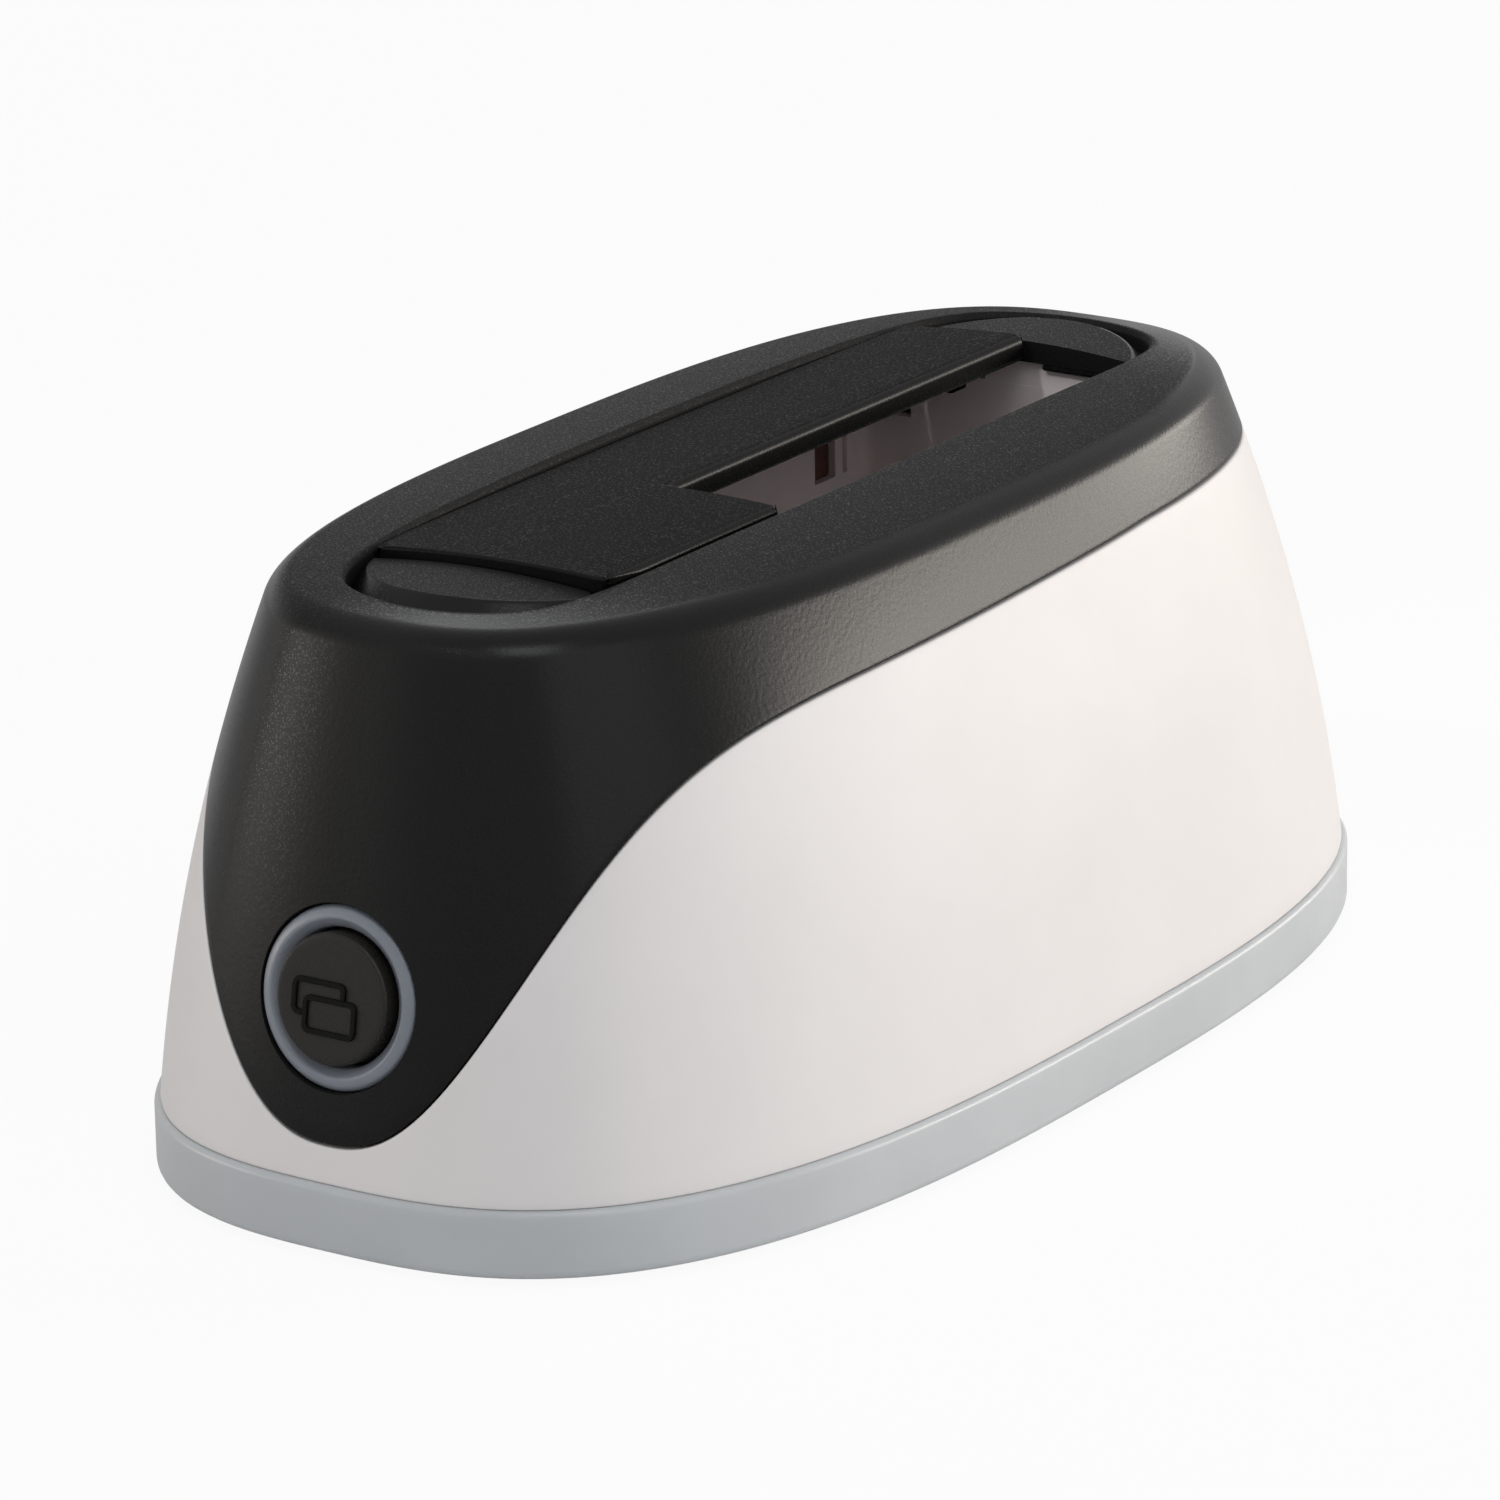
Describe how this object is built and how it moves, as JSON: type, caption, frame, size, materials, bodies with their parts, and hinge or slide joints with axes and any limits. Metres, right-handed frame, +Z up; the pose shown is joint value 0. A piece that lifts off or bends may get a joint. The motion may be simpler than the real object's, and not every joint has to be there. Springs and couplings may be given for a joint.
{
  "type": "hard drive docking station",
  "caption": "Desktop dock for bare hard drives: a rounded two-tone housing with a sprung L-shaped flap over the drive slot, a lit button at the front and sockets at the rear.",
  "frame": {"origin": "on the table, under the middle of the base", "axes": "+Z up, -Y towards the button end, +X to the right seen from the button end"},
  "size_m": [0.0878, 0.166, 0.0662],
  "materials": {
    "black_plastic": "fine spark texture",
    "white_plastic": "satin gloss",
    "grey_plastic": "translucent satin",
    "bay_plastic": "matt",
    "light_ring": "frosted translucent",
    "rubber": "matt",
    "steel": "bright",
    "tin": "bright tin plate",
    "contact": "gilt",
    "can": "satin",
    "ferrite": "matt",
    "board": "solder mask",
    "dark_plastic": "matt",
    "blue_plastic": "matt",
    "led": "clear",
    "cable": "matt"
  },
  "bodies": {
    "housing": {"top_cover": "black_plastic", "slot_bezel": "black_plastic", "hinge_pin": "steel", "flap_spring": "steel", "main_shell": "white_plastic", "drive_bay": "bay_plastic", "base_tray": "grey_plastic", "rubber_feet": "rubber", "main_board": "board", "sata_connector": "dark_plastic", "sata_contacts": "contact", "bridge_chip": "dark_plastic", "capacitors": "can", "inductor": "ferrite", "crystal": "steel", "usb_shell": "tin", "usb_tongue": "blue_plastic", "usb_contacts": "contact", "dc_jack": "dark_plastic", "dc_pin": "tin", "power_switch": "dark_plastic", "button_ring": "light_ring", "button_board": "board", "tact_switch": "dark_plastic", "ring_leds": "led", "board_cable": "cable", "cable_headers": "cable", "case_screws": "steel", "shell_screws": "steel", "bay_screws": "steel", "board_screws": "steel", "bezel_screws": "steel", "button_screws": "steel"},
    "flap": {"flap": "black_plastic"},
    "button": {"backup_button": "black_plastic", "tact_plunger": "bay_plastic"},
    "rocker": {"power_rocker": "dark_plastic"}
  },
  "joints": [
    {"name": "flap_hinge", "type": "hinge", "parent": "housing", "child": "flap", "pos_m": [-0.01895, 0, 0.06014], "axis": [0, 1, 0], "range_deg": [0, 90], "stiffness_Nm_per_rad": 0.0015, "springref_deg": -103.13, "deforming": ["flap_spring"]},
    {"name": "button_press", "type": "slide", "parent": "housing", "child": "button", "axis": [0, 0.9852, -0.1715], "range_m": [0, 0.0005], "stiffness_N_per_m": 2000, "springref_m": -0.0005},
    {"name": "rocker_turn", "type": "hinge", "parent": "housing", "child": "rocker", "pos_m": [-0.0126, 0.06975, 0.0157], "axis": [0, 0, 1], "range_deg": [-20, 0]}
  ]
}
